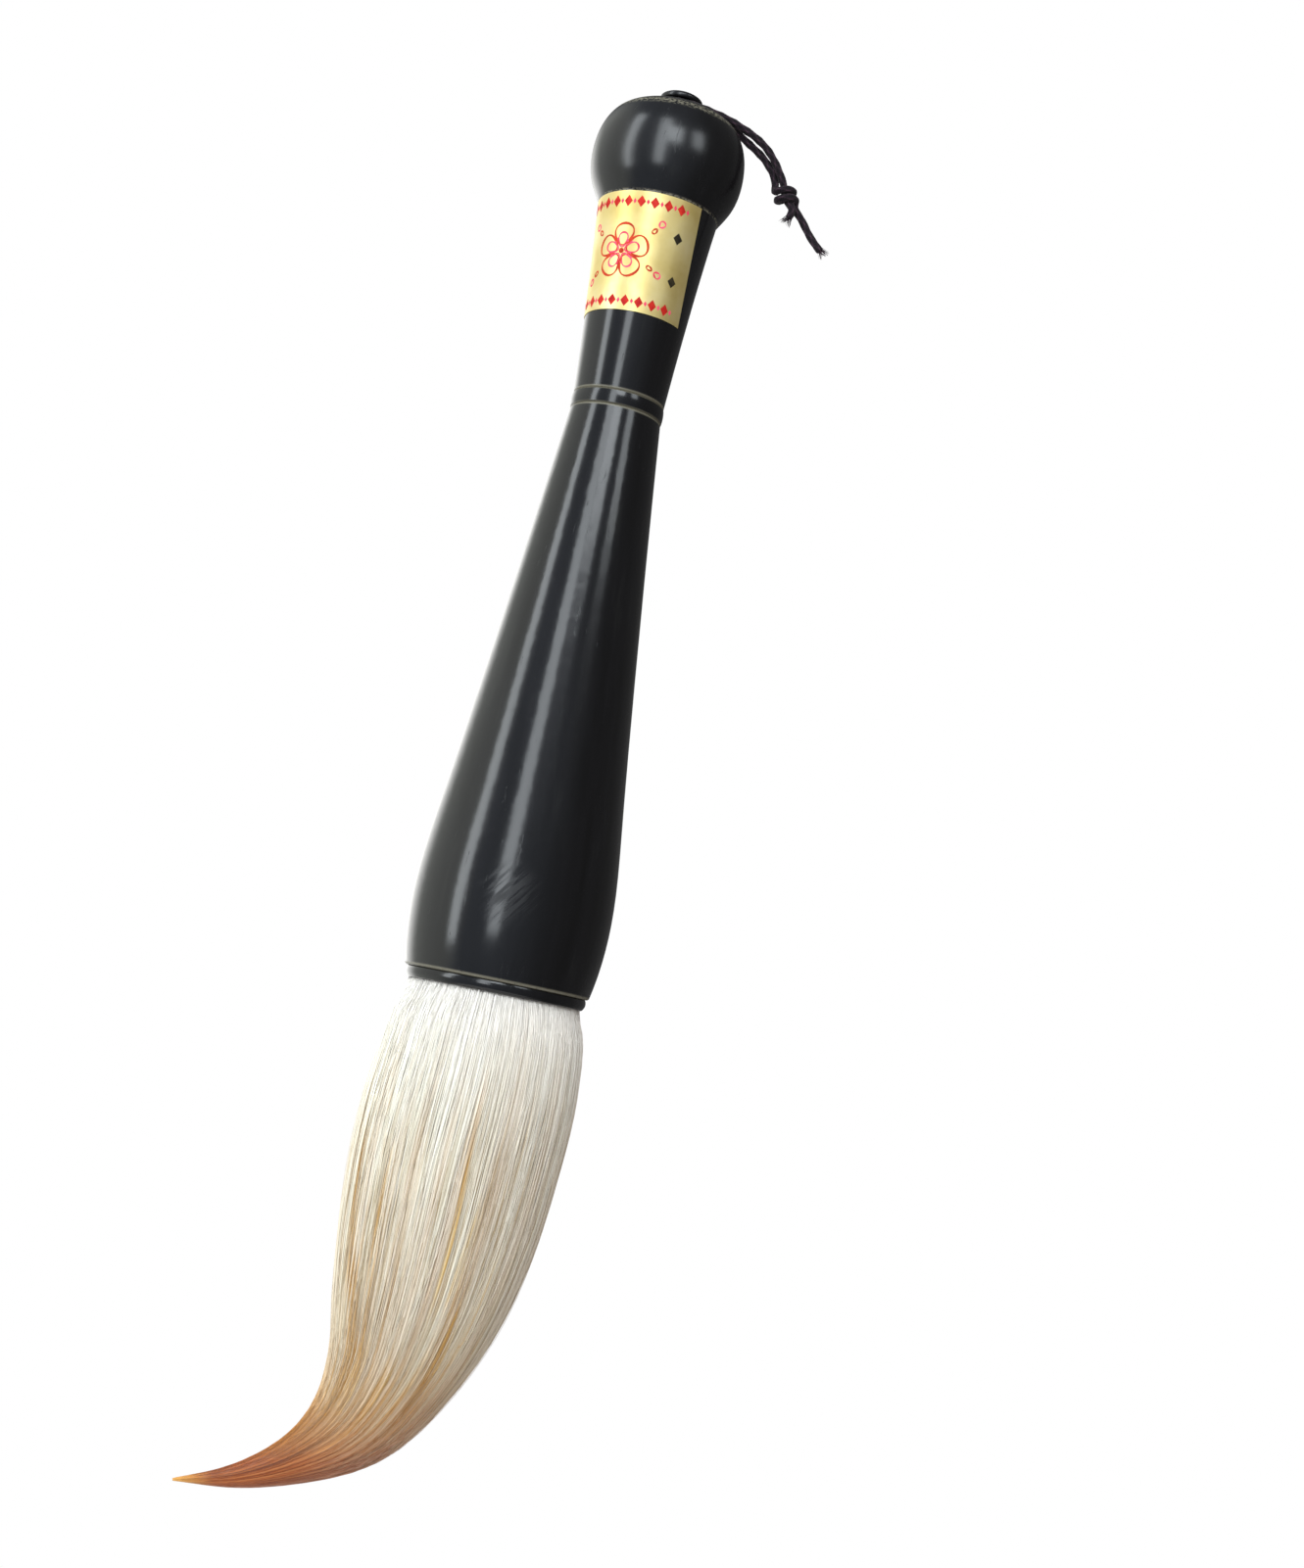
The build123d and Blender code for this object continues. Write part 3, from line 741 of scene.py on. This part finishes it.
def strand_group(
    name, material, seed, count, sides, rings, start, end, half_width, flatness, lift, wander, rise
):
    """Tapered strands laid along the tuft. Each range is (low, high); lift is its share of the
    radius, and rise the share of its length over which a strand comes up to that."""
    draw = np.random.default_rng(seed)

    def column(limits):
        """One random number for each strand."""
        return draw.uniform(*limits, (count, 1))

    around0 = (np.arange(count)[:, None] + draw.uniform(-0.5, 0.5, (count, 1))) * (tau / count)
    around0 = draw.permutation(around0)
    first, last = column(start), column(end)
    u = np.linspace(0, 1, rings)[None, :]
    along = first + (last - first) * u
    turn = column((-1, 1)) * wander
    bend, phase = column((0.3, 1.1)), column((0, tau))
    around = around0 + turn * u + wander * 0.5 * np.sin(bend * u * tau + phase)
    share = column(lift) + 0.004 * np.sin(column((0.8, 2.5)) * u * tau + column((0, tau)))
    share = share - 0.02 * (1 - smoothstep(0, rise, u)) - 0.012 * smoothstep(0.85, 1, u)
    centre = tuft_point(along, around, share)
    outward = unit(centre - tuft_point(along, around, share - 0.2))
    tangent = unit(np.gradient(centre, axis=1))
    across = unit(np.cross(tangent, outward))
    radius = smooth_through(SECTION_KEYS, SECTIONS, np.clip(along, 0, 1))[..., 2]
    crowding = 0.25 + 0.75 * np.clip(radius / SECTIONS[3, 2], 0, 1)
    taper = 0.15 + 0.85 * np.sin(pi * np.clip(u, 0.03, 0.97) ** 0.8) ** 0.6
    width = (column(half_width) * crowding * taper)[..., None]
    points = tube_points(centre, across, outward, sides, width, flatness * width)
    tone = draw.normal(0, 0.45, (count, 1))
    paler = draw.uniform(0.1, 1.0, (count, 1)) * (1 - smoothstep(0.72, 0.9, along))
    along, around, tone, paler = (
        np.broadcast_to(value[..., None], points.shape[:3]) for value in (along, around, tone, paler)
    )
    values = hair_values(along, around, tone)
    values["gold"] = values["gold"] * (1.12 - 0.85 * paler.ravel())
    return add_mesh(name, points, tube_faces(count, rings, sides), material, **values)


def make_hair():
    """The bundle, the locks that break up its surface, and the single hairs over both."""
    material = hair_material()
    bundle = make_hair_bundle(material)
    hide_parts("outer_hair_root", "outer_hair", "core_hair_root", "core_hair")
    locks = dict(
        count=170, sides=8, rings=40, start=(-0.035, -0.01), end=(0.86, 1.0),
        half_width=(0.5, 1.2), flatness=0.3, lift=(0.966, 0.986), wander=0.04, rise=0.35,
    )
    strands = dict(
        count=1100, sides=3, rings=26, start=(-0.035, -0.008), end=(0.72, 1.0),
        half_width=(0.07, 0.16), flatness=0.8, lift=(0.983, 1.012), wander=0.055, rise=0.06,
    )
    wisps = dict(
        count=90, sides=3, rings=30, start=(0.0, 0.5), end=(0.7, 0.99),
        half_width=(0.04, 0.07), flatness=0.9, lift=(1.01, 1.035), wander=0.22, rise=0.06,
    )
    layers = [(f"hair_locks_{i + 1}", 20 + i, locks) for i in range(2)]
    layers += [(f"hair_strands_{i + 1}", 30 + i, strands) for i in range(3)]
    layers.append(("hair_wisps", 40, wisps))
    groups = [strand_group(name, material, seed, **shape) for name, seed, shape in layers]
    for piece in (bundle, *groups):
        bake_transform(piece)


# ---- Hanging cord ------------------------------------------------------------------------------
CORD_RADIUS = 0.7
FRAY_REACH = 1.6
EYE_RADIUS = 3.15
EYE_HEIGHT = 178.65
# Routes from the eye to the knot and beyond it: (x, y, height above the mouth)
LONG_STRAND_ROUTE = [
    (7.0, 1.75, 178.4),
    (10.2, 1.2, 177.4),
    (12.9, 0.9, 175.95),
    (15.4, 0.8, 174.3),
    (17.7, 0.65, 172.75),
    (19.4, 0.55, 171.1),
    (20.85, 0.52, 169.25),
]
SHORT_STRAND_ROUTE = [
    (7.0, -1.75, 178.4),
    (10.2, -1.15, 177.85),
    (12.95, -0.85, 176.9),
    (15.7, -0.75, 175.75),
    (18.5, -0.6, 173.95),
    (20.65, -0.52, 171.5),
    (22.15, -0.52, 169.2),
]
LONG_TAIL_ROUTE = [
    (26.3, 0.45, 163.05),
    (28.0, 0.5, 161.4),
    (29.5, 0.5, 159.3),
    (31.0, 0.4, 157.4),
    (32.9, 0.2, 155.6),
]
SHORT_TAIL_ROUTE = [
    (25.5, -0.95, 163.1),
    (25.95, -1.05, 161.8),
    (25.4, -1.1, 160.5),
]
INTO_KNOT, OUT_OF_KNOT = (21.6, 0.8, 167.6), (26.2, 0.6, 164.0)
INTO_KNOT_SHORT = (23.3, -0.4, 167.1)
KNOT_MIDDLE = np.array([23.95, -0.1, 165.15])
KNOT_AXIS = unit(np.array([0.41, 0.0, -0.91]))
KNOT_LENGTH = 2.5  # between the middles of the first and last turn
KNOT_TURNS = 1.5
KNOT_WIDE, KNOT_DEEP = 1.6, 1.4  # half-axes of the oval that the wrapping strand's middle runs on
TURN_POINTS = 8


def eye_route(side):
    """Half of the bight, from behind the stem round to one side of it."""
    corner = EYE_RADIUS / cos(pi / TURN_POINTS)
    angles = [pi - (2 * i + 1) * pi / TURN_POINTS for i in range(3)]
    bend = [(corner * cos(a), side * corner * sin(a), EYE_HEIGHT) for a in angles]
    return [(-EYE_RADIUS, 0, EYE_HEIGHT), *bend, (3.9, side * 2.55, EYE_HEIGHT)]


def knot_turns():
    """The turns that the long strand takes round the short one, from the loop towards the tails."""
    front = np.array([0.0, -1.0, 0.0])
    left = np.cross(KNOT_AXIS, front)
    left = left if left[0] < 0 else -left
    count = int(KNOT_TURNS * TURN_POINTS) + 1
    wider = 1 / cos(pi / TURN_POINTS) ** 2  # the smooth line cuts inside these corners
    points = []
    for i in range(count):
        share = i / (count - 1)
        angle = share * KNOT_TURNS * tau
        middle = KNOT_MIDDLE + KNOT_AXIS * KNOT_LENGTH * (share - 0.5)
        turn = KNOT_WIDE * cos(angle) * left + KNOT_DEEP * sin(angle) * front
        points.append(tuple(middle + wider * turn))
    return points


def smooth_line(name, route):
    """Points along the smooth curve that has the route's points as its control points."""
    data = bpy.data.curves.new(name, "CURVE")
    data.dimensions, data.resolution_u = "3D", 24
    spline = data.splines.new("NURBS")
    spline.points.add(len(route) - 1)
    for point, (x, y, height) in zip(spline.points, route):
        point.co = (x, y, MOUTH.z + height, 1)
    spline.order_u = 3
    spline.use_endpoint_u = True
    curve = bpy.data.objects.new(name, data)
    bpy.context.scene.collection.objects.link(curve)
    mesh = bpy.data.meshes.new_from_object(curve)
    points = np.array([vertex.co for vertex in mesh.vertices])
    bpy.data.objects.remove(curve)
    bpy.data.meshes.remove(mesh)
    return points


def line_length(points):
    """How long the line through the points is."""
    return float(np.linalg.norm(np.diff(points, axis=0), axis=1).sum())


def respaced(points, count):
    """The same line with its points evenly spaced."""
    travelled = np.concatenate([[0], np.cumsum(np.linalg.norm(np.diff(points, axis=0), axis=1))])
    at = np.linspace(0, travelled[-1], count)
    return np.stack([np.interp(at, travelled, points[:, k]) for k in range(3)], -1)


def carried_frames(points):
    """Two directions square to the line at each point, carried along it without twisting."""
    tangent = unit(np.gradient(points, axis=0))
    normal = np.zeros_like(points)
    normal[0] = unit(np.cross(tangent[0], (0.3, 0.2, 1.0)))
    for i in range(1, len(points)):
        normal[i] = unit(normal[i - 1] - tangent[i] * (normal[i - 1] @ tangent[i]))
    return normal, np.cross(tangent, normal)


def cord_material():
    """Dark brown-black braid: painted highlights on the crowns of its plaits, painted shade between
    them, faint dust.
    """
    nodes = Nodes("braided_cord")
    crown = nodes.attribute("crown")
    place = nodes.add("TexCoord").outputs["Object"]
    lint = nodes.noise(place, 2600.0, 3.0)
    # Lighter on the crowns of the plaits and darker between them: painted highlight and painted shade.
    dark = nodes.ramp(
        crown, [(0.0, srgb(11, 6, 12)), (0.55, srgb(29, 19, 28)), (1.0, srgb(66, 47, 60))]
    )
    dusty = nodes.ramp(lint, [(0.5, (1, 1, 1, 1)), (0.8, srgb(255, 226, 214))])
    colour = nodes.mix(1.0, dark, dusty, "MULTIPLY")
    normal = nodes.bump(lint, 0.4, 0.0001)
    return nodes.finish(
        Base_Color=colour, Roughness=0.8, Normal=normal, Specular_IOR_Level=0.25, Sheen_Weight=0.08
    )


def make_cord(name, route, material):
    """A braided tube along the route, with its plaits as relief; returns it and its line."""
    line = smooth_line(name, route)
    sides, plaits, plait_turn, ring_gap = 24, 4, 2.1, 0.11  # the plaits' turn is in radians per mm
    rings = int(line_length(line) / ring_gap)
    line = respaced(line, rings)
    normal, side = carried_frames(line)
    angle = np.arange(sides)[None, :] * (tau / sides)
    ring = np.arange(rings)[:, None]
    wind = plait_turn * ring * line_length(line) / rings
    right, left = np.cos(plaits * angle + wind), np.cos(plaits * angle - wind)
    # How far each point stands on a plait's crown: it raises the relief, and the material paints it
    # lighter as a painted highlight and darker between as painted shade.
    crown = np.clip(np.maximum(right, left), 0, 1) * (0.75 + 0.25 * np.cos(plaits * angle * 2))
    narrowed = np.minimum(1, 0.72 + (rings - 1 - ring) / 6)
    radius = CORD_RADIUS * (0.99 + 0.15 * crown) * narrowed
    points = tube_points(line, normal, side, sides, radius, radius)
    faces = tube_faces(1, rings, sides)
    return add_mesh(name, points, faces, material, crown=crown.ravel()), line


def make_fray(name, line, material, reach, seed):
    """Loose threads that fork out from a cord's cut end."""
    draw = np.random.default_rng(seed)
    count, rings, sides = 44, 8, 3
    end, heading = line[-1], unit(line[-1] - line[-8])
    first = unit(np.cross(heading, (0, 1, 0.2)))
    second = np.cross(heading, first)
    fork = np.where(np.arange(count) % 2, 1.0, -1.0)[:, None]
    around, out = draw.uniform(0, tau, (count, 1)), draw.uniform(0.1, 0.9, (count, 1)) * CORD_RADIUS
    u = np.linspace(0, 1, rings)[None, :]
    spread = fork * 0.42 * u**1.4 * reach + draw.normal(0, 0.12, (count, 1)) * u * reach
    sag = draw.normal(0, 0.16, (count, 1)) * u * reach
    length = draw.uniform(0.55, 1.0, (count, 1)) * reach
    begin = end - heading * 0.9
    centre = (
        begin
        + heading * ((length + 0.9) * u)[..., None]
        + first * (out * np.cos(around) * (1 - 0.3 * u) + spread)[..., None]
        + second * (out * np.sin(around) * (1 - 0.3 * u) + sag)[..., None]
    )
    tangent = unit(np.gradient(centre, axis=1))
    across = unit(np.cross(tangent, second))
    over = np.cross(tangent, across)
    thick = (0.07 * (1 - 0.7 * u))[..., None]
    points = tube_points(centre, across, over, sides, thick, thick)
    # Each loose thread gets a random tone of its own.
    crown = np.broadcast_to(draw.uniform(0.3, 1.0, (count, 1, 1)), points.shape[:3])
    return add_mesh(name, points, tube_faces(count, rings, sides), material, crown=crown.ravel())


def make_hanging_cord():
    """Two strands from behind the stem, the long one tied round the short one, with frayed ends."""
    material = cord_material()
    turns = [INTO_KNOT, *knot_turns(), OUT_OF_KNOT]
    through = [INTO_KNOT_SHORT, *(tuple(KNOT_MIDDLE + KNOT_AXIS * past) for past in (-0.4, 1.1))]
    routes = {
        "long": eye_route(1) + LONG_STRAND_ROUTE + turns + LONG_TAIL_ROUTE,
        "short": eye_route(-1) + SHORT_STRAND_ROUTE + through + SHORT_TAIL_ROUTE,
    }
    stands_for = {
        "long": ("cord_eye", "cord_strand_long", "cord_knot", "cord_tail_long"),
        "short": ("cord_strand_short", "cord_tail_short"),
    }
    for seed, (name, route) in enumerate(routes.items()):
        cord, line = make_cord(f"hanging_cord_{name}", route, material)
        fray = make_fray(f"cord_fray_{name}", line, material, FRAY_REACH, 60 + seed)
        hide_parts(*stands_for[name])
        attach(fray, "hanging_loop")
        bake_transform(cord)


make_camera()
make_hanging_cord()
make_world()
make_lights()
make_stage()
dress_handle()
make_label_print()
make_hair()
